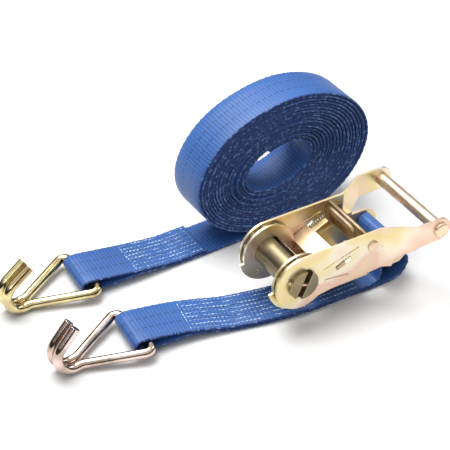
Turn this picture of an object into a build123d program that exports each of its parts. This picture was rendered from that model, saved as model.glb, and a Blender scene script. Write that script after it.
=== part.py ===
from build123d import *
import os
from math import asin, atan2, cos, degrees, hypot, radians, sin, sqrt, tan

# Two-part ratchet tie down for 35 mm webbing, in millimetres.
# The origin is on the resting surface, straight below the spindle.
# +X runs from the spindle to the hand grip, +Y from the short strap to the rolled one, +Z up.

# ---- driving dimensions ----
web_width = 35.0
web_thick = 2.2
sewn_gap = 1.2
spindle_height = 38.0
frame_gap = 36.2
plate_thick = 2.0
side_gap = 0.35
wheel_thick = 2.3

wheel_tip_radius = 20.5
wheel_root_radius = 16.8
wheel_teeth = 12
wheel_slant = 9.0
cam_radius = 20.8
cam_lobe_radius = 24.2
handle_radius = 21.2
pawl_clearance = 0.6

spindle_radius = 11.3
spindle_slot = 5.0
spindle_slot_angle = 66.0
spindle_proud = 3.2
running_fit = 0.08

anchor_x = 81.0
anchor_drop = 3.0
anchor_radius = 4.0

joggle_start = 66.0
joggle_end = 88.0
joggle_out = 12.0
grip_x = 108.0
grip_lift = 12.6
grip_radius = 5.0
grip_rod_radius = 3.0

cross_plate_x = 53.0
drive_angle = 25.0
pawl_thick = 3.0
pawl_travel = 4.5

wire_radius = 3.5
strap_turn_x = 2.0
strap_turn_angle = 13.4
short_eye_x = -112.0
short_eye_turn = -8.9
long_strap_start = (-112.4, 93.05)
long_strap_angle = 1.2
long_eye_turn = 4.9
tail_doubled = 96.0

roll_centre_x = 51.5
roll_half_length = 74.5
roll_half_height = 54.4
core_centre = (47.0, 57.0)
core_half_length = 26.0
core_half_height = 15.5
core_tilt = 15.0
roll_tilt = 4.0

# ---- derived places, measured from the spindle axis ----
frame_in = frame_gap / 2
frame_out = frame_in + plate_thick
wheel_in = frame_out + side_gap
wheel_out = wheel_in + wheel_thick
handle_in = wheel_out + side_gap
handle_out = handle_in + plate_thick
arm_in = handle_in + joggle_out
arm_out = handle_out + joggle_out
spindle_half_length = handle_out + spindle_proud
strap_top = 2 * web_thick + sewn_gap
SPINDLE = Pos(0, 0, spindle_height)

parts = {}


def xz_face(points):
    """Flat outline from (x, z) points, in the plane y = 0."""
    wire = Polyline(*[(x, 0, z) for x, z in points], close=True)
    return make_face(wire)


def slab_y(face, y_low, y_high):
    """A face lying in the plane y = 0, made solid from y_low to y_high."""
    return Pos(0, y_low, 0) * extrude(face, amount=y_high - y_low, dir=(0, 1, 0))


def disc_y(radius, y_low, y_high, x=0.0, z=0.0):
    """Round disc or rod along Y."""
    length = y_high - y_low
    return Pos(x, (y_low + y_high) / 2, z) * Rot(90, 0, 0) * Cylinder(radius, length)


def box_between(low, high):
    """Box from its lowest to its highest corner."""
    size = [h - l for l, h in zip(low, high)]
    middle = [(h + l) / 2 for l, h in zip(low, high)]
    return Pos(*middle) * Box(*size)


def mirror_y(solid):
    """The same shape on the other side of the plane y = 0."""
    return mirror(solid, about=Plane.XZ)


def polar(radius, angle):
    """Point at a distance and an angle in degrees, as (x, z)."""
    return radius * cos(radians(angle)), radius * sin(radians(angle))


def along_slide(start, s, n, angle):
    """Point s along a pawl's slide direction and n square to it, as (x, z)."""
    c, d = cos(radians(angle)), sin(radians(angle))
    return start[0] + s * c - n * d, start[1] + s * d + n * c


def slide_block(start, angle, s_low, s_high, n_low, n_high, y_low, y_high):
    """Block laid along a pawl's slide direction."""
    corners = [(s_low, n_low), (s_high, n_low), (s_high, n_high), (s_low, n_high)]
    outline = xz_face([along_slide(start, s, n, angle) for s, n in corners])
    return slab_y(outline, y_low, y_high)


def pawl_tip(angle, line_z):
    """Start of a pawl, where its nearer corner clears the tooth tips."""
    reach = wheel_tip_radius + pawl_clearance
    x = reach + 5
    start = (x, line_z(x))
    while nearest_corner(start, angle) > reach:
        x -= 0.02
        start = (x, line_z(x))
    return start


def nearest_corner(start, angle):
    """Distance from the spindle axis to the nearer corner of a pawl's front edge."""
    corners = [along_slide(start, 0, n, angle) for n in (-pawl_thick / 2, pawl_thick / 2)]
    return min(hypot(*corner) for corner in corners)


def spring_along(start, end, y, coil_radius, wire, turns):
    """Helical compression spring between two points of the plane y = const."""
    length = hypot(end[0] - start[0], end[1] - start[1])
    angle = degrees(atan2(end[1] - start[1], end[0] - start[0]))
    path = Helix(pitch=(length - wire) / turns, height=length - wire, radius=coil_radius)
    section = Plane(origin=path @ 0, z_dir=path % 0) * Circle(wire / 2)
    coil = Pos(0, 0, wire / 2) * sweep(section, path=path, is_frenet=True)
    return Pos(start[0], y, start[1]) * Rot(0, 90 - angle, 0) * coil


def drive_line(x):
    """Height of the drive pawl's middle plane at x."""
    return 4.2 + (x - 34.0) * tan(radians(drive_angle))


def lock_line(x):
    """Height of the lock pawl's middle plane, the same at every x."""
    return -10.5


# ---- frame ----
drive_start = pawl_tip(drive_angle, drive_line)
lock_start = pawl_tip(0, lock_line)

base_low = -20.0
base_x = (22.0, 59.0)
spring_tab_x = 56.0
spring_tab_half_width = 7.0
spring_tab_top = -6.5
lobe_start = 192
lobe_steps = 13
lobe_step_angle = 8
cam_hole_radius = 1.3
cam_hole = (-10.2, -15.4)
lock_ear_length = 6.0
slot_margin = 0.35


def frame_side():
    """One side plate of the frame, lying at y = 0 to plate_thick."""
    cam = Rot(90, 0, 0) * Circle(cam_radius)
    lobe_points = [(0, 0)]
    lobe_points += [
        polar(cam_lobe_radius, lobe_start + step * lobe_step_angle) for step in range(lobe_steps + 1)]
    body = xz_face([
        (0, -cam_lobe_radius), (14, -21.5), (22, base_low), (60, -18.6), (74, -17.6), (81, -19.2),
        (87, -18.6), (91, -15.2), (93, -10), (92.6, -4), (89.5, 1.5), (84, 4.6), (68, 4.2),
        (52, 0.5), (24, -5.5), (19, -8.5), (0, -8),
    ])
    side = slab_y(cam, 0, plate_thick) + slab_y(xz_face(lobe_points), 0, plate_thick)
    side += slab_y(body, 0, plate_thick)
    side -= disc_y(spindle_radius + running_fit, -1, plate_thick + 1)
    side -= disc_y(cam_hole_radius, -1, plate_thick + 1, *cam_hole)
    half = pawl_thick / 2 + slot_margin
    side -= slide_block(
        lock_start, 0, -slot_margin, lock_ear_length + pawl_travel + slot_margin,
        -half, half, -1, plate_thick + 1)
    return side


def frame():
    """Two side plates joined by a base plate, with a bent-up tab that backs the lock spring."""
    far = Pos(0, frame_in, 0) * frame_side()
    near = mirror_y(far)
    base = box_between(
        (base_x[0], -frame_out, base_low), (base_x[1], frame_out, base_low + plate_thick))
    spring_tab = box_between(
        (spring_tab_x, -spring_tab_half_width, base_low),
        (spring_tab_x + plate_thick, spring_tab_half_width, spring_tab_top))
    body = far + near + base + spring_tab
    body -= disc_y(anchor_radius, -frame_out - 1, frame_out + 1, x=anchor_x, z=-anchor_drop)
    return body


parts["frame"] = frame()

# ---- anchor bar, riveted across the frame ----
bar_head_radius = 5.2
bar_head_thick = 1.3
bar = disc_y(anchor_radius, -frame_out, frame_out, x=anchor_x, z=-anchor_drop)
for side in (-1, 1):
    inner = side * frame_out
    outer = side * (frame_out + bar_head_thick)
    bar += disc_y(bar_head_radius, min(inner, outer), max(inner, outer), x=anchor_x, z=-anchor_drop)
parts["anchor_bar"] = bar

# ---- ratchet wheels and spindle ----
wheel_bore_fit = 0.02
key_fit = 0.02


def spindle_half(side):
    """Half-round bar on one side of the webbing slot."""
    rod = disc_y(spindle_radius, -spindle_half_length, spindle_half_length)
    keep = Pos(spindle_slot / 2 + spindle_radius, 0, 0) * Box(
        2 * spindle_radius, 2 * spindle_half_length + 2, 4 * spindle_radius)
    turned = Rot(0, 90 - spindle_slot_angle, 0) * keep
    if side < 0:
        turned = Rot(0, 180, 0) * turned
    return rod & turned


def ratchet_wheel(y_low):
    """Saw-toothed wheel with a bar across its bore that fills the spindle's slot."""
    outline = []
    for tooth in range(wheel_teeth):
        start = tooth * 360 / wheel_teeth
        outline.append(polar(wheel_root_radius, start))
        outline.append(polar(wheel_tip_radius, start + wheel_slant * 0.2))
        outline.append(polar(wheel_tip_radius, start + wheel_slant))
    wheel = slab_y(xz_face(outline), y_low, y_low + wheel_thick)
    bore = disc_y(spindle_radius + wheel_bore_fit, y_low - 1, y_low + wheel_thick + 1)
    key = Pos(0, y_low + wheel_thick / 2, 0) * Rot(0, 90 - spindle_slot_angle, 0) * Box(
        spindle_slot - 2 * key_fit, wheel_thick, 2 * spindle_radius + 1)
    return wheel - bore + key


parts["ratchet_wheel_near"] = ratchet_wheel(-wheel_out)
parts["ratchet_wheel_far"] = ratchet_wheel(wheel_in)

cotter_radius = 1.1
cotter_fit = 0.02
cotter_length = 2 * spindle_radius + 3
cotter_y = handle_out + side_gap + cotter_radius
cotter_turn = Rot(0, 90 - spindle_slot_angle, 0) * Rot(0, 90, 0)
cotter_hole = cotter_turn * Cylinder(cotter_radius + cotter_fit, cotter_length + 20)
cotter_pin = cotter_turn * Cylinder(cotter_radius, cotter_length)
for name, side in (("spindle_half_left", -1), ("spindle_half_right", 1)):
    half = spindle_half(side)
    for y in (-cotter_y, cotter_y):
        half -= Pos(0, y, 0) * cotter_hole
    parts[name] = half
parts["cotter_pins"] = Compound(children=[Pos(0, y, 0) * cotter_pin for y in (-cotter_y, cotter_y)])

# ---- handle ----
window_start = 7.0
ear_length = 8.0
window_end = window_start + ear_length + pawl_travel + 0.8
cross_rivet = (58.5, 9.4)
cross_rivet_radius = 2.5
arm_end_radius = 9.0
rib_height = 0.7
stop_lug_x = (66.0, 70.5)
stop_lug_z = (4.9, 6.9)


def arm_profile():
    """Side view of a handle arm, before its joggle."""
    outline = xz_face([
        (0, handle_radius), (grip_x, 21.6), (grip_x, 3.6), (89, 3.0), (74, -5.0), (73, -11.6),
        (60, -12.4), (46, -14.4), (24, -14.9), (13, -16.6), (0, -16),
    ])
    disc = Rot(90, 0, 0) * Circle(handle_radius)
    end = Pos(grip_x, 0, grip_lift) * Rot(90, 0, 0) * Circle(arm_end_radius)
    reach = arm_out + 1
    return slab_y(outline, 0, reach) + slab_y(disc, 0, reach) + slab_y(end, 0, reach)


def arm_plan():
    """Top view of the far arm: flat, then stepped outwards, then flat again."""
    outline = Polyline(
        (-30, handle_in), (joggle_start, handle_in), (joggle_end, arm_in), (140, arm_in),
        (140, arm_out), (joggle_end - 0.6, arm_out), (joggle_start - 0.6, handle_out), (-30, handle_out),
        close=True)
    return Pos(0, 0, -40) * extrude(make_face(outline), amount=80, dir=(0, 0, 1))


def bar_on_arm(start, end, width, y_low, y_high):
    """Straight bar between two points of the far arm's side view, for a rib or a slit."""
    length = hypot(end[0] - start[0], end[1] - start[1])
    angle = degrees(atan2(end[1] - start[1], end[0] - start[0]))
    middle = ((start[0] + end[0]) / 2, (start[1] + end[1]) / 2)
    place = Pos(middle[0], (y_low + y_high) / 2, middle[1]) * Rot(0, -angle, 0)
    return place * Box(length, y_high - y_low, width)


def handle_arm():
    """Far arm, with its rib, slit, holes, pawl window and the lug that stops it on the frame."""
    arm = arm_profile() & arm_plan()
    arm += bar_on_arm((18.5, -5.6), (38.5, -8.4), 2.2, handle_out - 0.1, handle_out + rib_height)
    arm -= bar_on_arm((17.5, 4.8), (46.5, 13.6), 0.9, handle_in - 1, handle_out + 1)
    arm -= disc_y(spindle_radius + running_fit, handle_in - 1, handle_out + 2)
    arm -= slide_block(
        drive_start, drive_angle, window_start, window_end,
        -pawl_thick / 2 - slot_margin, pawl_thick / 2 + slot_margin, handle_in - 1, handle_out + 2)
    arm -= disc_y(cross_rivet_radius, handle_in - 1, handle_out + 1, *cross_rivet)
    arm -= disc_y(grip_rod_radius, arm_in - 1, arm_out + 1, grip_x, grip_lift)
    lug = box_between(
        (stop_lug_x[0], frame_in - 0.2, stop_lug_z[0]), (stop_lug_x[1], handle_in + 3.0, stop_lug_z[1]))
    return arm + lug


parts["handle_arm_far"] = handle_arm()
parts["handle_arm_near"] = mirror_y(parts["handle_arm_far"])

cross_low = 4.5
cross_high = 20.2
flange_high = 16.0
flange_length = 11.0
cross = box_between(
    (cross_plate_x, -handle_in, cross_low), (cross_plate_x + plate_thick, handle_in, cross_high))
flange = box_between(
    (cross_plate_x, handle_in - plate_thick, cross_low),
    (cross_plate_x + flange_length, handle_in, flange_high))
cross += flange + mirror_y(flange)
cross -= disc_y(cross_rivet_radius, -handle_out, handle_out, *cross_rivet)
parts["handle_cross_plate"] = cross


rivet_head_radius = 4.3
rivet_head_thick = 1.6
rivet_tail_radius = 3.6
rivet_tail_thick = 0.8


def domed_head(radius, y_low, thick, x, z):
    """Round head with its outer edge rounded off."""
    head = disc_y(radius, y_low, y_low + thick, x, z)
    return fillet(head.faces().sort_by(Axis.Y)[-1].edges(), thick * 0.7)


shank_low = handle_in - plate_thick
far_rivet = disc_y(cross_rivet_radius, shank_low, handle_out, *cross_rivet)
far_rivet += disc_y(rivet_tail_radius, shank_low - rivet_tail_thick, shank_low, *cross_rivet)
far_rivet += domed_head(rivet_head_radius, handle_out, rivet_head_thick, *cross_rivet)
parts["cross_rivets"] = Compound(children=[far_rivet, mirror_y(far_rivet)])

tube = disc_y(grip_radius, -arm_in, arm_in, grip_x, grip_lift)
tube -= disc_y(grip_rod_radius + 0.05, -arm_in - 1, arm_in + 1, grip_x, grip_lift)
parts["grip_tube"] = tube

rod_head_radius = 5.6
rod_head_thick = 2.2
rod = disc_y(grip_rod_radius, -arm_out, arm_out, grip_x, grip_lift)
far_head = domed_head(rod_head_radius, arm_out, rod_head_thick, grip_x, grip_lift)
parts["grip_rod"] = rod + far_head + mirror_y(far_head)

# ---- drive pawl and its springs, in the handle ----
pawl_half_width = handle_in - 0.35
shoulder_end = 14.0
leg_end = 29.5
leg_half_width = 17.6
ear_proud = 0.8
pull_x = 46.2
pull_top = 23.6
pull_round = 6.5
pull_band = 4.2
window_half_width = 13.0
punched_hole_radius = 1.8


def drive_pawl():
    """Pawl plate with an ear in each arm's window and a finger pull bent up at its back."""
    half = pawl_thick / 2
    plate = slide_block(
        drive_start, drive_angle, 0, shoulder_end, -half, half, -pawl_half_width, pawl_half_width)
    ear_start = window_start + slot_margin
    ear_reach = handle_out + ear_proud
    ears = slide_block(
        drive_start, drive_angle, ear_start, ear_start + ear_length - slot_margin,
        -half, half, -ear_reach, ear_reach)
    legs = slide_block(
        drive_start, drive_angle, shoulder_end - 1, leg_end, -half, half, -leg_half_width, leg_half_width)
    pull_back = pull_x + plate_thick
    beyond_pull = box_between((pull_back, -30, -30), (80, 30, 60))
    pull = box_between(
        (pull_x, -leg_half_width, drive_line(pull_x) - 1), (pull_back, leg_half_width, pull_top))
    pull = fillet(pull.edges().filter_by(Axis.X).group_by(Axis.Z)[-1], pull_round)
    body = plate + ears + legs - beyond_pull + pull
    body -= slide_block(
        drive_start, drive_angle, shoulder_end + 1.5, leg_end + 6, -4, 4,
        -window_half_width, window_half_width)
    body -= box_between(
        (pull_x - 1, -window_half_width, drive_line(pull_x)),
        (pull_back + 1, window_half_width, pull_top - pull_band))
    punched = along_slide(drive_start, 8.5, 0, drive_angle)
    place = Pos(punched[0], -9.0, punched[1]) * Rot(0, -drive_angle, 0)
    return body - place * Cylinder(punched_hole_radius, 8)


parts["drive_pawl"] = drive_pawl()

spring_wire = 0.8
spring_turns = 8
drive_spring_radius = 1.75
drive_spring_y = leg_half_width + 0.3 + drive_spring_radius + spring_wire / 2
spring_start = along_slide(drive_start, window_start + ear_length + 0.05, 0, drive_angle)
spring_reach = (cross_plate_x - drive_spring_radius * 0.8 - spring_start[0]) / cos(radians(drive_angle))
spring_end = along_slide(spring_start, spring_reach, 0, drive_angle)
parts["drive_springs"] = Compound(children=[
    spring_along(
        spring_start, spring_end, side * drive_spring_y, drive_spring_radius, spring_wire, spring_turns)
    for side in (-1, 1)])

# ---- lock pawl and its spring, in the frame ----
lock_half_width = frame_in - 0.3
lock_length = 17.0


def lock_pawl():
    """Pawl plate with an ear through each frame slot and a spigot inside its spring."""
    half = pawl_thick / 2
    plate = slide_block(lock_start, 0, 0, lock_length, -half, half, -lock_half_width, lock_half_width)
    ears = slide_block(
        lock_start, 0, 0, lock_ear_length, -half, half, -wheel_out + 0.1, wheel_out - 0.1)
    spigot = slide_block(lock_start, 0, lock_length - 0.5, lock_length + 3, -1.2, 1.2, -1.2, 1.2)
    return plate + ears + spigot


parts["lock_pawl"] = lock_pawl()
lock_spring_radius = 2.6
lock_spring_start = (lock_start[0] + lock_length + 0.02, lock_start[1])
lock_spring_end = (spring_tab_x - 0.02, lock_start[1])
parts["lock_spring"] = spring_along(
    lock_spring_start, lock_spring_end, 0, lock_spring_radius, spring_wire, spring_turns)

for name in parts:
    parts[name] = SPINDLE * parts[name]


# ---- hooks: one bent wire each, made lying in the plane z = 0 with the base along Y ----
hook_half_width = 18.3
hook_corner_radius = 4.8
hook_meet_radius = 9.0
hook_meet = 48.0
hook_run = 2.0
hook_split = 4.1
hook_skew = 8.5
claw_radius = 13.0
claw_straight = 17.0
short_claw_curl = 138.0
long_claw_curl = 151.0


def claw_hook(curl):
    """Double claw hook: base wire at the origin, claw pointing to -X and curling up by curl degrees."""
    across_x = hook_meet - hook_corner_radius
    across_y = hook_half_width - hook_split - hook_meet_radius
    leg_turn = degrees(
        atan2(across_y, across_x)
        + asin((hook_corner_radius + hook_meet_radius) / hypot(across_x, across_y)))
    base = Line((0, 0, 0), (0, hook_half_width, 0))
    corner = JernArc(base @ 1, base % 1, hook_corner_radius, 90 + leg_turn)
    leg_end = Vector(
        hook_meet_radius * sin(radians(leg_turn)) - hook_meet,
        hook_split + hook_meet_radius * (1 - cos(radians(leg_turn))), 0)
    leg = Line(corner @ 1, leg_end)
    meet = JernArc(leg @ 1, leg % 1, hook_meet_radius, -leg_turn)
    run_end = Vector(-hook_meet - hook_run, hook_split, 0)
    run = Line(meet @ 1, run_end)
    turn = radians(curl)
    tip_bend = Vector(
        run_end.X - claw_radius * sin(turn), hook_split, claw_radius * (1 - cos(turn)))
    claw = TangentArc(run_end, tip_bend, tangent=(-1, 0, 0))
    tip = tip_bend + Vector(-cos(turn), 0, sin(turn)) * claw_straight
    end = Line(tip_bend, tip)
    path = Wire([base, corner, leg, meet, run, claw, end])
    half = sweep(Plane(origin=(0, 0, 0), z_dir=(0, 1, 0)) * Circle(wire_radius), path=path)
    return half + mirror_y(half)


eye_gap = 0.3
eye_slack = 5.6
eye_length = 38.0
merge_low = 4.6
ramp_length = 34.0
fold_radius = 0.5
eye_radius = wire_radius + eye_gap
eye_height = 8.2
hook_drop = degrees(atan2(eye_height - wire_radius, hook_meet + hook_run))
HOOK_IN_EYE = Pos(eye_slack / 2, 0, eye_height) * Rot(0, 0, hook_skew) * Rot(0, -hook_drop, 0)


def hull_xz(circles):
    """Outline round two circles given as (x, z, radius), from their outer tangents."""
    (x1, z1, r1), (x2, z2, r2) = circles
    distance = hypot(x2 - x1, z2 - z1)
    base_angle = atan2(z2 - z1, x2 - x1)
    lean = atan2(sqrt(distance ** 2 - (r1 - r2) ** 2), r1 - r2)
    corners = []
    for x, z, r, sign in ((x1, z1, r1, 1), (x2, z2, r2, 1), (x2, z2, r2, -1), (x1, z1, r1, -1)):
        angle = base_angle + sign * lean
        corners.append((x + r * cos(angle), z + r * sin(angle)))
    body = slab_y(xz_face(corners), 0, web_width)
    for x, z, r in circles:
        body += disc_y(r, 0, web_width, x, z)
    return body


def round_hull(circles):
    """Solid round several circles, each joined to every other."""
    body = None
    for first in range(len(circles)):
        for second in range(first + 1, len(circles)):
            piece = hull_xz((circles[first], circles[second]))
            body = piece if body is None else body + piece
    return body


def grown(circles, amount):
    """The same circles with a larger radius."""
    return [(x, z, r + amount) for x, z, r in circles]


def centred(solid):
    """Moved so that the webbing's width is centred on y = 0."""
    return Pos(0, -web_width / 2, 0) * solid


def folded_eye(eye_x):
    """Folded end of a strap round a hook, and the hole that is left inside it."""
    circles = [
        (eye_x, eye_height, eye_radius),
        (eye_x + eye_slack, eye_height, eye_radius),
        (eye_x + eye_length, merge_low + strap_top / 2, fold_radius),
    ]
    return round_hull(grown(circles, web_thick)), round_hull(circles)


def sewn_run(eye_x, end_x):
    """Doubled webbing that comes down from the eye's height to the ground, then lies flat."""
    start = eye_x + eye_length - 8
    foot = eye_x + eye_length + ramp_length
    outline = [
        (start, merge_low), (foot, 0), (end_x, 0),
        (end_x, strap_top), (foot, strap_top), (start, merge_low + strap_top),
    ]
    return slab_y(xz_face(outline), 0, web_width)


def ply(x_low, x_high, z_high):
    """Flat length of webbing lying on the ground."""
    return box_between((x_low, 0, 0), (x_high, web_width, z_high))


def turn_at(x, angle):
    """Place of what lies to the left of a strap's turn in plan."""
    return Pos(x, 0, 0) * Rot(0, 0, -angle) * Pos(-x, 0, 0)


def bent(strap, x, angle):
    """A strap lying along X, with all that is left of x turned in plan by an angle."""
    half_turn = radians(angle / 2)
    mitre = Plane(origin=(x, 0, 0), z_dir=(cos(half_turn), -sin(half_turn), 0))
    right = split(strap, bisect_by=mitre, keep=Keep.TOP)
    left = split(turn_at(x, angle) * strap, bisect_by=mitre, keep=Keep.BOTTOM)
    return left + right


# ---- short strap: hook eye, doubled webbing, and a loop round the anchor bar ----
slack_radius = 13.0
bar_fit = 0.05
loop_circles = [
    (anchor_x, spindle_height - anchor_drop, anchor_radius + bar_fit),
    (83.1, web_thick + slack_radius, slack_radius),
    (56.0, strap_top / 2, fold_radius),
]
eye_skin, eye_hole = folded_eye(short_eye_x)
ratchet_end = round_hull(grown(loop_circles, web_thick)) & ply(-40, 120, 80)
strap = eye_skin + sewn_run(short_eye_x, 56.0) + ratchet_end - eye_hole - round_hull(loop_circles)
strap = bent(centred(strap), short_eye_x + eye_length, short_eye_turn)
parts["short_webbing"] = bent(strap, strap_turn_x, strap_turn_angle)

short_hook_place = turn_at(strap_turn_x, strap_turn_angle)
short_hook_place *= turn_at(short_eye_x + eye_length, short_eye_turn)
short_hook_place *= Pos(short_eye_x, 0, 0) * HOOK_IN_EYE
parts["hook_short"] = short_hook_place * claw_hook(short_claw_curl)

# ---- long strap: tail with its hook, and the roll that stands on the tail ----
LONG = Pos(long_strap_start[0], long_strap_start[1], 0) * Rot(0, 0, long_strap_angle)
tail_reach = roll_centre_x - long_strap_start[0]
eye_skin, eye_hole = folded_eye(0)
tail = eye_skin + sewn_run(0, tail_doubled) + ply(tail_doubled - 12, tail_reach, web_thick) - eye_hole
parts["long_webbing_tail"] = LONG * bent(centred(tail), eye_length, long_eye_turn)
long_hook_place = turn_at(eye_length, long_eye_turn) * HOOK_IN_EYE
parts["hook_long"] = LONG * long_hook_place * claw_hook(long_claw_curl)

roll_low = web_thick + 0.03
roll_stand = hypot(
    roll_half_length * sin(radians(roll_tilt)), roll_half_height * cos(radians(roll_tilt)))
outer = Rot(0, -roll_tilt, 0) * Rot(90, 0, 0) * Ellipse(roll_half_length, roll_half_height)
outer = Pos(tail_reach, 0, roll_low + roll_stand) * outer
core = Rot(0, -core_tilt, 0) * Rot(90, 0, 0) * Ellipse(core_half_length, core_half_height)
core = Pos(core_centre[0] - long_strap_start[0], 0, core_centre[1]) * core
roll = slab_y(outer, 0, web_width) - slab_y(core, -1, web_width + 1)
parts["long_webbing_roll"] = LONG * centred(roll)

os.makedirs("parts", exist_ok=True)
for name, solid in parts.items():
    solid.label = name
    export_step(solid, f"parts/{name}.step")
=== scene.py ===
"""Looks of a ratchet tie down: woven blue webbing, sewn eyes, zinc-plated steel, floor, light, camera."""

import math
import random

import bpy
import numpy as np
from mathutils import Matrix, Vector


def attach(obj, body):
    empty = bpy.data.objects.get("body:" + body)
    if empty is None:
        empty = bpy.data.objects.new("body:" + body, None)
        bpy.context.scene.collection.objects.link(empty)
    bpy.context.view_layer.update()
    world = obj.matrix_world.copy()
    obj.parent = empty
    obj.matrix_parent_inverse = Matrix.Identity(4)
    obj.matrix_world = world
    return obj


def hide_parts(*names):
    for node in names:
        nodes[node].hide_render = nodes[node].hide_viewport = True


MM = 0.001

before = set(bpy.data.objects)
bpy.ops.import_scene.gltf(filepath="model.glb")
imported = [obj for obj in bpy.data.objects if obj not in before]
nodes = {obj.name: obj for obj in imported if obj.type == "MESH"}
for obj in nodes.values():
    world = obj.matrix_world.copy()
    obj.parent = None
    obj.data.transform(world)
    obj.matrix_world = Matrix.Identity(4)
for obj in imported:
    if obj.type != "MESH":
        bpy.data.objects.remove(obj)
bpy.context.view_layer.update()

# ---- sizes shared with the CAD model, in millimetres ----
WEB_WIDTH = 35.0
WEB_THICK = 2.1
PLY_GAP = 0.6
EYE_HEIGHT = 8.2
EYE_RADIUS = 3.8
EYE_LENGTH = 38.0
EYE_SLACK = 5.6
MERGE_LOW = 4.6
RAMP_LENGTH = 34.0
STRAP_TURN_X = 2.0
STRAP_TURN_ANGLE = 13.4
SHORT_EYE_X = -112.0
SHORT_EYE_TURN = -8.9
BAR = (81.0, 35.0)
BAR_RADIUS = 4.05
SLACK_X = 83.1
SLACK_RADIUS = 13.0
LOOP_START_X = 60.0
LONG_START = (-112.4, 93.05)
LONG_ANGLE = 1.2
LONG_EYE_TURN = 4.9
TAIL_DOUBLED = 96.0
ROLL_CENTRE = (51.5, 56.75)
ROLL_TILT = 4.0
ROLL_HALF = (74.5, 54.4)
CORE_CENTRE = (47.0, 57.0)
CORE_HALF = (26.0, 15.5)
CORE_TILT = 15.0

# ---- looks only ----
ROLL_TURNS = 18
RIB_PITCH = 2.7
SCALLOP_PITCH = 5.4
RING_STEP = 0.8
STITCH_PITCH = 3.0
STITCH_LENGTH = 2.3
STITCH_RADIUS = 0.34
ROW_OFFSETS = (-14.6, -10.4, -6.2, -2.0, 2.0, 6.2, 10.4, 14.6)
PLY_END = 90.0
STEPS_PER_TURN = 90
INNER_END_TURNS = 0.45
ROLL_SWAY_START = 260.0
ROLL_SWAY_RISE = 60.0
LONG_EYE_BEND_REACH = 14.0
SHORT_EYE_BEND_REACH = 22.0
SHORT_BEND_REACH = 30.0
MARKER_OFFSET = 5.2
MARKER_HALF_WIDTH = 0.32
SIDE_FACE_START = 16.9
WARP_PITCH = 0.9


# ---- centrelines in the plane of the strap's side view ----
def line(start, end):
    """Points along a straight run."""
    length = math.dist(start, end)
    count = max(2, int(length))
    return [
        (start[0] + (end[0] - start[0]) * i / count, start[1] + (end[1] - start[1]) * i / count)
        for i in range(count + 1)
    ]


def arc(centre, radius, start, end):
    """Points along an arc between two angles in degrees."""
    count = max(8, int(abs(end - start) / 4))
    angles = [math.radians(start + (end - start) * i / count) for i in range(count + 1)]
    return [(centre[0] + radius * math.cos(a), centre[1] + radius * math.sin(a)) for a in angles]


def resample(points, step, smooth):
    """Evenly spaced points along a line, with its corners eased over a few steps."""
    points = np.array(points)
    steps = np.linalg.norm(np.diff(points, axis=0), axis=1)
    points = points[np.concatenate([[True], steps > 1e-6])]
    for _ in range(2):
        lengths = np.concatenate([[0], np.cumsum(np.linalg.norm(np.diff(points, axis=0), axis=1))])
        even = np.linspace(0, lengths[-1], int(lengths[-1] / step) + 1)
        points = np.column_stack([np.interp(even, lengths, points[:, k]) for k in (0, 1)])
        padded = np.pad(points, ((smooth, smooth), (0, 0)), mode="reflect", reflect_type="odd")
        kernel = np.ones(2 * smooth + 1) / (2 * smooth + 1)
        points = np.column_stack([np.convolve(padded[:, k], kernel, "valid") for k in (0, 1)])
    return points


def length_of(points):
    return float(np.linalg.norm(np.diff(points, axis=0), axis=1).sum())


# ---- webbing as a closed ribbon ----
def section():
    """Cross-section of the webbing as (across, through) pairs and how far each lies on a selvedge."""
    half, thick = WEB_WIDTH / 2, WEB_THICK / 2 - 0.12
    across = [-half + 1.0, -half / 2, 0, half / 2, half - 1.0]
    top = [(y, thick, 0.0) for y in across]
    right = [(half - 0.3, thick * 0.6, 1.0), (half, 0.0, 1.0), (half - 0.3, -thick * 0.6, 1.0)]
    bottom = [(y, -thick, 0.0) for y in reversed(across)]
    left = [(-half + 0.3, -thick * 0.6, -1.0), (-half, 0.0, -1.0), (-half + 0.3, thick * 0.6, -1.0)]
    return top + right + bottom + left


def ribbon(name, centreline, place, sway):
    """Woven ribbon along a centreline.

    place maps (x, y, z) in mm to the row frame, and sway gives its sideways shift along its length.
    """
    ring = section()
    tangents = np.gradient(centreline, axis=0)
    tangents /= np.linalg.norm(tangents, axis=1)[:, None]
    normals = np.column_stack([-tangents[:, 1], tangents[:, 0]])
    along = np.concatenate([[0], np.cumsum(np.linalg.norm(np.diff(centreline, axis=0), axis=1))])
    rib = np.cos(2 * np.pi * along / RIB_PITCH)
    scallop = np.cos(2 * np.pi * along / SCALLOP_PITCH)
    drift = sway(along)
    rows, across = [], []
    for y, through, edge in ring:
        lift = through * (1 + 0.11 * rib)
        side = y + drift + edge * (0.14 * rib + 0.22 * scallop)
        x = centreline[:, 0] + normals[:, 0] * lift
        z = centreline[:, 1] + normals[:, 1] * lift
        rows.append(np.column_stack([x, side, z]))
        across.append(np.full(len(along), y))
    points = place(np.stack(rows, axis=1).reshape(-1, 3)) * MM
    count, size = len(along), len(ring)
    faces = []
    for i in range(count - 1):
        for j in range(size):
            k = (j + 1) % size
            faces.append((i * size + j, i * size + k, (i + 1) * size + k, (i + 1) * size + j))
    faces.append(tuple(range(size - 1, -1, -1)))
    faces.append(tuple((count - 1) * size + j for j in range(size)))
    mesh = bpy.data.meshes.new(name)
    mesh.from_pydata(points.tolist(), [], faces)
    for attribute, values in (
        ("along", np.repeat(along * MM, size)),
        ("across", np.stack(across, axis=1).reshape(-1) * MM),
    ):
        layer = mesh.attributes.new(attribute, "FLOAT", "POINT")
        layer.data.foreach_set("value", values.astype(np.float32))
    mesh.shade_smooth()
    obj = bpy.data.objects.new(name, mesh)
    bpy.context.scene.collection.objects.link(obj)
    return obj


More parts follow.
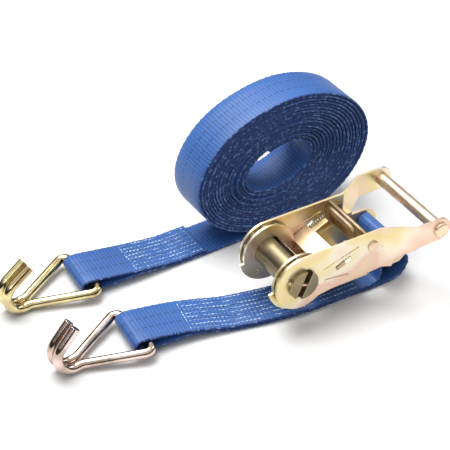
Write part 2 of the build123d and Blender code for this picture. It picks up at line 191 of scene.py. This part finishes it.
# ---- places of the two straps in the row frame ----
def turned(points, origin, angle):
    """Points turned about an upright line and moved to origin."""
    c, s = math.cos(math.radians(angle)), math.sin(math.radians(angle))
    x, y, z = points.T
    return np.column_stack([origin[0] + c * x - s * y, origin[1] + s * x + c * y, z])


def bend(points, turn_x, angle, reach):
    """Points of a strap that turns in plan, eased over a short stretch on each side of turn_x."""
    full = math.radians(-angle)
    x, y, z = points.T
    start = turn_x + reach
    into = np.clip((start - x) / (2 * reach), 0, 1)
    radius = 2 * reach / full
    past = np.maximum(turn_x - reach - x, 0)
    before = np.maximum(x - start, 0)
    centre_x = start - radius * np.sin(full * into) + before - past * np.cos(full * into)
    centre_y = radius * (np.cos(full * into) - 1) - past * np.sin(full * into)
    return np.column_stack([centre_x - y * np.sin(full * into), centre_y + y * np.cos(full * into), z])


def place_long(points):
    eased = bend(points, LONG_START[0] + EYE_LENGTH, LONG_EYE_TURN, LONG_EYE_BEND_REACH)
    return turned(eased - np.array([LONG_START[0], 0, 0]), LONG_START, LONG_ANGLE)


def place_short(points):
    eased = bend(points, SHORT_EYE_X + EYE_LENGTH, SHORT_EYE_TURN, SHORT_EYE_BEND_REACH)
    return bend(eased, STRAP_TURN_X, STRAP_TURN_ANGLE, SHORT_BEND_REACH)


HALF_THICK = WEB_THICK / 2
UPPER = WEB_THICK + PLY_GAP + HALF_THICK


def eye(eye_x):
    """Centreline from the upper ply on the ground, up and round a hook, and down to the lower ply."""
    radius = EYE_RADIUS + HALF_THICK
    merge_x, foot_x = eye_x + EYE_LENGTH, eye_x + EYE_LENGTH + RAMP_LENGTH
    high, low = MERGE_LOW + UPPER, MERGE_LOW + HALF_THICK
    path = [(foot_x, UPPER), (merge_x, high), (eye_x + EYE_SLACK, EYE_HEIGHT + radius)]
    path += arc((eye_x, EYE_HEIGHT), radius, 90, 270)
    return path + [(eye_x + EYE_SLACK, EYE_HEIGHT - radius), (merge_x, low), (foot_x, HALF_THICK)]


# ---- short strap: both plies of one length, sewn shut, with a loop round the anchor bar ----
short_path = line((SHORT_EYE_X + PLY_END, HALF_THICK), (BAR[0] - 6, HALF_THICK))
short_path += arc((SLACK_X, WEB_THICK + SLACK_RADIUS), SLACK_RADIUS + HALF_THICK, -90, 2)
short_path += arc(BAR, BAR_RADIUS + HALF_THICK, 8, 168)
short_path += arc((LOOP_START_X + 9, UPPER + 4.4), 4.4, -12, -88)
short_path += line((LOOP_START_X - 2, UPPER), (SHORT_EYE_X + PLY_END, UPPER))
short_path += eye(SHORT_EYE_X)
short_path += line((SHORT_EYE_X + 80, HALF_THICK), (SHORT_EYE_X + PLY_END - 1, HALF_THICK))
short_line = resample(short_path, RING_STEP, 2)


def gentle_sway(along):
    return 0.35 * np.sin(along / 23.0) + 0.2 * np.sin(along / 9.0 + 1.0)


short_webbing = ribbon("short_webbing_woven", short_line, place_short, gentle_sway)

# ---- long strap: sewn eye, tail on the floor, and the roll standing on it ----
long_path = line((TAIL_DOUBLED + LONG_START[0], UPPER), (LONG_START[0] + 80, UPPER))
long_path += eye(LONG_START[0])
long_path += line((LONG_START[0] + 80, HALF_THICK), (ROLL_CENTRE[0] - 12, HALF_THICK))


def roll_point(turns_left):
    """Point of the rolled strap, a number of turns before its inner end."""
    share = turns_left / ROLL_TURNS
    layer = WEB_THICK / 2
    outer = (ROLL_HALF[0] + layer, ROLL_HALF[1] + layer)
    inner = (CORE_HALF[0] + layer, CORE_HALF[1] + layer)
    half_x = inner[0] + (outer[0] - inner[0]) * share
    half_z = inner[1] + (outer[1] - inner[1]) * share
    centre_x = CORE_CENTRE[0] + (ROLL_CENTRE[0] - CORE_CENTRE[0]) * share
    centre_z = CORE_CENTRE[1] + (ROLL_CENTRE[1] - CORE_CENTRE[1]) * share
    tilt = math.radians(ROLL_TILT + (CORE_TILT - ROLL_TILT) * (1 - share) ** 1.5)
    lowest = -math.pi / 2 - math.atan(math.tan(math.radians(ROLL_TILT)) * ROLL_HALF[0] / ROLL_HALF[1])
    angle = lowest + 2 * math.pi * (ROLL_TURNS - turns_left)
    x = half_x * math.cos(angle)
    z = half_z * math.sin(angle)
    return (
        centre_x + x * math.cos(tilt) - z * math.sin(tilt),
        centre_z + x * math.sin(tilt) + z * math.cos(tilt),
    )


roll_steps = int((ROLL_TURNS - INNER_END_TURNS) * STEPS_PER_TURN)
long_path += [roll_point(ROLL_TURNS - step / STEPS_PER_TURN) for step in range(roll_steps + 1)]
long_line = resample(long_path, RING_STEP, 2)


def roll_sway(along):
    """The roll's turns stand a little proud of each other at the sides."""
    rolled = np.clip((along - ROLL_SWAY_START) / ROLL_SWAY_RISE, 0, 1)
    turns = 0.45 * np.sin(along / 61.0) + 0.35 * np.sin(along / 23.7 + 2.0) + 0.2 * np.sin(along / 9.1)
    return rolled * turns + (1 - rolled) * gentle_sway(along)


long_webbing = ribbon("long_webbing_woven", long_line, place_long, roll_sway)
long_length = length_of(long_line)
short_length = length_of(short_line)
print(f"flat lengths: short {short_length:.0f} mm, long {long_length:.0f} mm")


# ---- stitching: short thread capsules laid in rows ----
def capsule(length, radius):
    """Rounded stitch along X, as points and faces.

    Each ring is (share of the length, share of the radius).
    """
    rings = [(-0.5, 0.0), (-0.42, 0.75), (-0.2, 1.0), (0.2, 1.0), (0.42, 0.75), (0.5, 0.0)]
    sides = 6
    points, faces = [], []
    for share, width in rings:
        for k in range(sides):
            a = 2 * math.pi * k / sides
            spread = max(width, 0.15) * radius
            points.append((share * length, spread * math.cos(a), spread * math.sin(a)))
    for i in range(len(rings) - 1):
        for k in range(sides):
            m = (k + 1) % sides
            faces.append((i * sides + k, i * sides + m, (i + 1) * sides + m, (i + 1) * sides + k))
    faces.append(tuple(range(sides - 1, -1, -1)))
    faces.append(tuple((len(rings) - 1) * sides + k for k in range(sides)))
    return np.array(points), faces


def stitching(name, rows, eye_x, place, seed):
    """One object of stitches. Each row is (start point, end point) in plan, in the strap's own lengths."""
    flat_top = UPPER + HALF_THICK - 0.02
    rng = random.Random(seed)
    shape, shape_faces = capsule(STITCH_LENGTH, STITCH_RADIUS)
    points, faces = [], []
    for (x0, y0), (x1, y1) in rows:
        length = math.dist((x0, y0), (x1, y1))
        heading = math.atan2(y1 - y0, x1 - x0)
        for k in range(int(length / STITCH_PITCH)):
            at = (k + 0.5) * STITCH_PITCH
            x = x0 + at * math.cos(heading) + rng.uniform(-0.2, 0.2)
            y = y0 + at * math.sin(heading) + rng.uniform(-0.25, 0.25)
            turn = heading + rng.uniform(-0.22, 0.22)
            c, s = math.cos(turn), math.sin(turn)
            climb = min(max((eye_x + EYE_LENGTH + RAMP_LENGTH - x) / RAMP_LENGTH, 0), 1)
            top = flat_top + MERGE_LOW * climb
            placed = np.column_stack([
                x + c * shape[:, 0] - s * shape[:, 1],
                y + s * shape[:, 0] + c * shape[:, 1],
                top + shape[:, 2] + rng.uniform(-0.05, 0.1),
            ])
            first = len(points) * len(shape)
            points.append(placed)
            faces.extend(tuple(first + v for v in face) for face in shape_faces)
    mesh = bpy.data.meshes.new(name)
    mesh.from_pydata((place(np.concatenate(points)) * MM).tolist(), [], faces)
    mesh.shade_smooth()
    obj = bpy.data.objects.new(name, mesh)
    bpy.context.scene.collection.objects.link(obj)
    return obj


def sewn_rows(x_low, x_high):
    """Long rows of lock stitch, closed by a cross row at the eye."""
    rows = [((x_low, y), (x_high, y)) for y in ROW_OFFSETS]
    rows.append(((x_low - 1.5, -15.5), (x_low - 1.5, 15.5)))
    return rows


short_stitches = stitching(
    "short_stitching", sewn_rows(SHORT_EYE_X + EYE_LENGTH + 3, 56), SHORT_EYE_X, place_short, 3)
long_stitches = stitching(
    "long_stitching", sewn_rows(LONG_START[0] + EYE_LENGTH + 2, LONG_START[0] + TAIL_DOUBLED - 2),
    LONG_START[0], place_long, 4)


# ---- materials ----
class Nodes:
    """Small helper to write a node tree line by line."""

    def __init__(self, name):
        self.material = bpy.data.materials.new(name)
        self.material.use_nodes = True
        self.tree = self.material.node_tree
        self.shader = self.tree.nodes["Principled BSDF"]

    def add(self, kind, **settings):
        node = self.tree.nodes.new("ShaderNode" + kind)
        for key, value in settings.items():
            if hasattr(node, key):
                setattr(node, key, value)
            else:
                node.inputs[key].default_value = value
        return node

    def link(self, source, target):
        self.tree.links.new(source, target)

    def math(self, operation, first, second=None, third=None):
        node = self.add("Math", operation=operation)
        for socket, value in zip(node.inputs, (first, second, third)):
            if value is None:
                continue
            if isinstance(value, (int, float)):
                socket.default_value = value
            else:
                self.link(value, socket)
        return node.outputs[0]

    def ramp(self, source, stops):
        node = self.add("ValToRGB")
        elements = node.color_ramp.elements
        while len(elements) < len(stops):
            elements.new(0.5)
        for element, (position, colour) in zip(elements, stops):
            element.position = position
            element.color = (*colour, 1.0)
        self.link(source, node.inputs[0])
        return node.outputs[0]

    def mix(self, factor, first, second, blend="MIX"):
        node = self.add("Mix", data_type="RGBA", blend_type=blend)
        sockets = {0: factor, 6: first, 7: second}
        for index, value in sockets.items():
            if isinstance(value, (int, float)):
                node.inputs[index].default_value = value
            elif isinstance(value, tuple):
                node.inputs[index].default_value = (*value, 1.0)
            else:
                self.link(value, node.inputs[index])
        return node.outputs[2]

    def noise(self, scale, detail=3.0, coordinates=None):
        node = self.add("TexNoise", Scale=scale, Detail=detail)
        source = coordinates or self.add("TexCoord").outputs["Object"]
        self.link(source, node.inputs["Vector"])
        return node.outputs["Fac"]

    def attribute(self, name):
        return self.add("Attribute", attribute_name=name).outputs["Fac"]


def wave(n, source, pitch):
    """Cosine wave from 0 to 1 over a length in metres."""
    turns = n.math("MULTIPLY", source, 2 * math.pi / pitch)
    return n.math("MULTIPLY_ADD", n.math("COSINE", turns), 0.5, 0.5)


def webbing_material(name):
    """Woven polyester: cross ribs, fine warp threads, side faces painted darker as painted shade with paler
    flecks on them, and two dashed marker yarns.
    """
    n = Nodes(name)
    along, across = n.attribute("along"), n.attribute("across")
    rib = wave(n, along, RIB_PITCH * MM)
    warp = wave(n, across, WARP_PITCH * MM)
    fine = n.noise(900.0, 2.0)
    broad = n.noise(14.0, 2.0)
    base = n.ramp(broad, [(0.3, (0.008, 0.044, 0.20)), (0.7, (0.019, 0.084, 0.31))])
    shade = n.math("MULTIPLY", n.math("ADD", rib, n.math("MULTIPLY", warp, 0.35)), 0.45)
    base = n.mix(shade, base, (0.060, 0.190, 0.46))
    base = n.mix(n.math("MULTIPLY", fine, 0.35), base, (0.005, 0.026, 0.16))
    # The strap's side faces, past the width of its top face, are painted darker: painted shade on the
    # strap's sides and the roll's faces.
    edge = n.math("GREATER_THAN", n.math("ABSOLUTE", across), SIDE_FACE_START * MM)
    base = n.mix(n.math("MULTIPLY", edge, 0.75), base, (0.004, 0.017, 0.13))
    fleck = n.math("GREATER_THAN", n.noise(380.0, 1.0), 0.59)
    base = n.mix(n.math("MULTIPLY", n.math("MULTIPLY", edge, fleck), 0.45), base, (0.20, 0.36, 0.72))
    line_at = n.math("ABSOLUTE", n.math("SUBTRACT", n.math("ABSOLUTE", across), MARKER_OFFSET * MM))
    on_line = n.math("LESS_THAN", line_at, MARKER_HALF_WIDTH * MM)
    dash = n.math("GREATER_THAN", wave(n, along, 2 * RIB_PITCH * MM), 0.36)
    marker = n.math("MULTIPLY", on_line, dash)
    base = n.mix(n.math("MULTIPLY", marker, 0.9), base, (0.004, 0.006, 0.02))
    n.link(base, n.shader.inputs["Base Color"])
    height = n.math("ADD", n.math("MULTIPLY", rib, 0.5), n.math("MULTIPLY", warp, 0.3))
    height = n.math("ADD", height, n.math("MULTIPLY", fine, 0.4))
    bump = n.add("Bump", Strength=0.5, Distance=0.0003)
    n.link(height, bump.inputs["Height"])
    n.link(bump.outputs[0], n.shader.inputs["Normal"])
    n.shader.inputs["Roughness"].default_value = 0.5
    n.shader.inputs["Sheen Weight"].default_value = 0.18
    n.shader.inputs["Sheen Roughness"].default_value = 0.4
    n.shader.inputs["Sheen Tint"].default_value = (0.55, 0.75, 1.0, 1.0)
    return n.material


def thread_material(name):
    """Pale blue sewing thread, some stitches nearly white."""
    n = Nodes(name)
    n.link(
        n.ramp(n.noise(160.0, 1.0), [(0.38, (0.07, 0.19, 0.46)), (0.60, (0.62, 0.78, 0.95))]),
        n.shader.inputs["Base Color"])
    n.shader.inputs["Roughness"].default_value = 0.4
    n.shader.inputs["Sheen Weight"].default_value = 0.2
    return n.material


def zinc_material(name, colours, roughness, patch=16.0, edge_highlight_colour=(0.95, 0.86, 0.70), metallic=0.9):
    """Passivated zinc plate: broad bands of tint, fine grain, light scuffs, and rounded edges painted paler
    as a painted highlight.
    """
    n = Nodes(name)
    place = n.add("TexCoord").outputs["Object"]
    stretch = n.add("Mapping")
    stretch.inputs["Scale"].default_value = (1.0, 1.6, 1.3)
    n.link(place, stretch.inputs["Vector"])
    tint = n.noise(patch, 2.0, stretch.outputs[0])
    last = len(colours) - 1
    stops = [(0.32 + 0.36 * k / last, colour) for k, colour in enumerate(colours)]
    base = n.ramp(tint, stops)
    grain = n.noise(700.0, 3.0)
    base = n.mix(n.math("MULTIPLY", grain, 0.18), base, (0.35, 0.30, 0.22))
    # Where the bevelled normal turns away from the face normal, rounded edges are painted paler: a painted
    # highlight along the edges.
    bevel = n.add("Bevel", samples=4, Radius=0.0005)
    geometry = n.add("NewGeometry")
    turn = n.add("VectorMath", operation="DOT_PRODUCT")
    n.link(bevel.outputs[0], turn.inputs[0])
    n.link(geometry.outputs["Normal"], turn.inputs[1])
    edge_highlight = n.math("MULTIPLY", n.math("SUBTRACT", 1.0, turn.outputs["Value"]), 3.0)
    base = n.mix(n.math("MINIMUM", edge_highlight, 0.8), base, edge_highlight_colour)
    n.link(base, n.shader.inputs["Base Color"])
    spread = 0.18
    rough = n.math("MULTIPLY_ADD", n.noise(60.0, 3.0), spread, roughness - spread / 2)
    n.link(rough, n.shader.inputs["Roughness"])
    bump = n.add("Bump", Strength=0.12, Distance=0.0002)
    n.link(n.math("ADD", grain, n.noise(90.0, 2.0)), bump.inputs["Height"])
    n.link(bevel.outputs[0], bump.inputs["Normal"])
    n.link(bump.outputs[0], n.shader.inputs["Normal"])
    n.shader.inputs["Metallic"].default_value = metallic
    return n.material


def paint(material, *names):
    """Gives CAD nodes a material in place of their plain one."""
    for name in names:
        slots = nodes[name].material_slots
        for k in range(len(slots)):
            slots[k].material = material


blue = webbing_material("blue_webbing")
thread = thread_material("blue_thread")
for strap, stitches, body, hook, covered, path_length in (
    (short_webbing, short_stitches, "buckle", "hook_short", ("short_webbing",), short_length),
    (long_webbing, long_stitches, "long_strap", "hook_long",
     ("long_webbing_tail", "long_webbing_roll"), long_length),
):
    strap.data.materials.append(blue)
    stitches.data.materials.append(thread)
    for piece in (strap, stitches):
        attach(piece, body)
    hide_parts(*covered)

cream = (0.92, 0.72, 0.49)
yellow = (0.90, 0.74, 0.34)
pink = (0.92, 0.62, 0.49)
pale = (0.96, 0.87, 0.70)
olive = (0.34, 0.29, 0.20)
brown_gold = (0.42, 0.28, 0.13)

plate = zinc_material("zinc_plate", [cream, yellow, pale, pink, cream], 0.36)
# Darker olive and brown tints for the parts that sit inside between the arms: painted shade over the same
# cream zinc.
inner_shaded_plate = zinc_material("zinc_inner_painted_shade", [olive, brown_gold, cream, olive], 0.34)
small = zinc_material("zinc_small", [pale, cream, pink, pale], 0.28, patch=40.0)
# Very dark brown tints for the spindle and ratchet wheels inside the frame: painted shade over their zinc.
spindle_shade_tints = [(0.12, 0.10, 0.06), (0.30, 0.23, 0.12), (0.17, 0.15, 0.10), (0.40, 0.33, 0.21)]
spindle_shade_zinc = zinc_material("zinc_spindle", spindle_shade_tints, 0.30)
silver_tints = [(0.84, 0.76, 0.68), (0.46, 0.36, 0.28), (0.88, 0.68, 0.62), (0.66, 0.62, 0.52)]
yellow_tints = [(0.86, 0.80, 0.48), (0.48, 0.34, 0.16), (0.82, 0.72, 0.38), (0.62, 0.50, 0.28)]
silver_hook = zinc_material("zinc_hook_silver", silver_tints, 0.12, patch=30.0, metallic=1.0)
yellow_hook = zinc_material("zinc_hook_yellow", yellow_tints, 0.12, patch=30.0, metallic=1.0)
spring_steel = zinc_material("spring_steel", [(0.6, 0.6, 0.6), (0.7, 0.68, 0.62)], 0.25, metallic=1.0)

paint(plate, "frame", "handle_arm_near", "handle_arm_far")
paint(inner_shaded_plate, "handle_cross_plate", "drive_pawl", "lock_pawl")
paint(spindle_shade_zinc, "spindle_half_left", "spindle_half_right", "ratchet_wheel_near", "ratchet_wheel_far")
paint(small, "anchor_bar", "cross_rivets", "grip_tube", "grip_rod", "cotter_pins")
paint(silver_hook, "hook_short")
paint(yellow_hook, "hook_long")
paint(spring_steel, "drive_springs", "lock_spring")

# ---- floor, light and camera ----
bpy.ops.mesh.primitive_plane_add(size=8.0, location=(0, 0, -0.0003))
floor = bpy.context.object
floor.name = "floor"
floor_nodes = Nodes("pale_floor")
floor_nodes.shader.inputs["Base Color"].default_value = (0.66, 0.66, 0.66, 1.0)
floor_nodes.shader.inputs["Roughness"].default_value = 0.9
floor.data.materials.append(floor_nodes.material)

world = bpy.data.worlds.new("studio")
bpy.context.scene.world = world
world.use_nodes = True
sky = world.node_tree
direction = sky.nodes.new("ShaderNodeTexCoord")
split = sky.nodes.new("ShaderNodeSeparateXYZ")
band = sky.nodes.new("ShaderNodeValToRGB")
sky.links.new(direction.outputs["Generated"], split.inputs[0])
sky.links.new(split.outputs["Z"], band.inputs[0])
sky.links.new(band.outputs[0], sky.nodes["Background"].inputs["Color"])
bands = [(0.0, 0.12), (0.10, 0.03), (0.36, 0.08), (0.62, 0.85), (1.0, 1.25)]
while len(band.color_ramp.elements) < len(bands):
    band.color_ramp.elements.new(0.5)
for element, (position, value) in zip(band.color_ramp.elements, bands):
    element.position = position
    element.color = (value, value, value, 1.0)
sky.nodes["Background"].inputs["Strength"].default_value = 0.85

target = Vector((-0.01173, 0.05917, 0.038))


def area_light(name, offset, size, power):
    """Soft rectangular light aimed at the object."""
    light = bpy.data.lights.new(name, "AREA")
    light.shape = "RECTANGLE"
    light.size, light.size_y = size
    light.energy = power
    obj = bpy.data.objects.new(name, light)
    obj.location = target + Vector(offset)
    obj.rotation_euler = (target - obj.location).to_track_quat("-Z", "Y").to_euler()
    bpy.context.scene.collection.objects.link(obj)


area_light("top", (-0.15, 0.40, 1.25), (1.1, 0.9), 27.0)
area_light("front_left", (-1.0, -0.9, 0.75), (0.6, 0.4), 2.0)
area_light("right", (1.2, -0.1, 0.7), (0.5, 0.8), 3.0)

CAMERA_AZIMUTH = -31.06
CAMERA_ELEVATION = 37.25
CAMERA_DISTANCE = 1.2
CAMERA_ROLL = 0.22
FOCAL_PIXELS = 1664.8
IMAGE_PIXELS = 450.0

azimuth, elevation = math.radians(CAMERA_AZIMUTH), math.radians(CAMERA_ELEVATION)
back = Vector((
    math.sin(azimuth) * math.cos(elevation),
    -math.cos(azimuth) * math.cos(elevation),
    math.sin(elevation)))
camera = bpy.data.objects.new("camera", bpy.data.cameras.new("camera"))
bpy.context.scene.collection.objects.link(camera)
look = (-back).to_track_quat("-Z", "Y").to_matrix().to_4x4()
roll = Matrix.Rotation(math.radians(CAMERA_ROLL), 4, "Z")
camera.matrix_world = Matrix.Translation(target + back * CAMERA_DISTANCE) @ look @ roll
camera.data.sensor_width = 36.0
camera.data.lens = FOCAL_PIXELS / IMAGE_PIXELS * 36.0
camera.data.clip_end = 20.0
bpy.context.scene.camera = camera
bpy.context.scene.view_settings.view_transform = "Standard"
